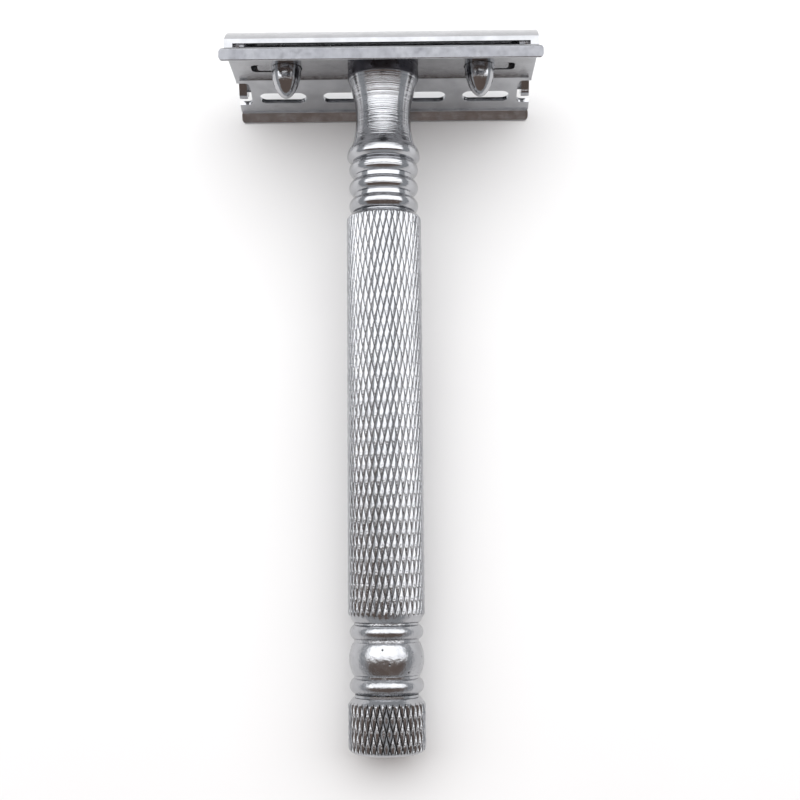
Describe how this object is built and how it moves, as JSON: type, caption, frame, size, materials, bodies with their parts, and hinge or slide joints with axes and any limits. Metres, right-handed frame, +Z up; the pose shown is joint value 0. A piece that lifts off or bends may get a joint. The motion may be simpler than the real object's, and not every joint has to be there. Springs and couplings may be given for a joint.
{
  "type": "safety razor",
  "caption": "Double-edge safety razor with a knurled handle; turning the knob lifts the blade bed and opens the doors of the head.",
  "frame": {"origin": "centre of the knob's flat end, on the handle's axis", "axes": "+Y along the handle towards the head, +X along the head, +Z up out of the surface that the razor lies on"},
  "size_m": [0.0434, 0.1003, 0.0262],
  "materials": {
    "plated_knurl": "bright chrome plate over knurled brass",
    "plated_turned": "bright chrome plate over turned brass",
    "plated_sheet": "bright chrome plate over stamped brass",
    "plated_cast": "chrome plate over cast zinc",
    "brass": "turned brass",
    "steel_pin": "drawn steel",
    "spring_steel": "blued spring steel"
  },
  "bodies": {
    "handle": {"grip_tube": "plated_knurl", "ring_sleeve": "plated_turned", "neck": "plated_turned", "neck_bush": "brass", "guard_boss": "plated_turned", "guard_plate": "plated_sheet"},
    "knob": {"knob": "plated_knurl", "drive_screw": "brass", "thrust_washer": "steel_pin", "wave_washer": "spring_steel", "retaining_ring": "spring_steel"},
    "carrier": {"pull_rod": "steel_pin", "threaded_socket": "brass", "blade_bed": "plated_sheet", "bed_rivet": "steel_pin", "end_bracket_left": "plated_cast", "end_bracket_right": "plated_cast", "guide_post_left": "plated_turned", "guide_post_right": "plated_turned", "hinge_pins": "steel_pin"},
    "front_door": {"front_door": "plated_sheet"},
    "rear_door": {"rear_door": "plated_sheet"}
  },
  "joints": [
    {"name": "knob_turn", "type": "hinge", "parent": "handle", "child": "knob", "pos_m": [0, 0, 0], "axis": [0, -1, 0], "range_deg": [0, 720.5]},
    {"name": "bed_lift", "type": "slide", "parent": "handle", "child": "carrier", "axis": [0, 1, 0], "range_m": [0, 0.005]},
    {"name": "front_door_swing", "type": "hinge", "parent": "carrier", "child": "front_door", "pos_m": [0, 0.0967, 0.0072], "axis": [1, 0, 0], "range_deg": [0, 85.5]},
    {"name": "rear_door_swing", "type": "hinge", "parent": "carrier", "child": "rear_door", "pos_m": [0, 0.0967, -0.0072], "axis": [-1, 0, 0], "range_deg": [0, 85.5]}
  ],
  "couplings": [
    {"joint": "knob_turn", "follows": "bed_lift", "rad_per_m": 2513.3},
    {"joint": "front_door_swing", "follows": "bed_lift", "rad_per_m": 296.71},
    {"joint": "rear_door_swing", "follows": "bed_lift", "rad_per_m": 296.71}
  ]
}
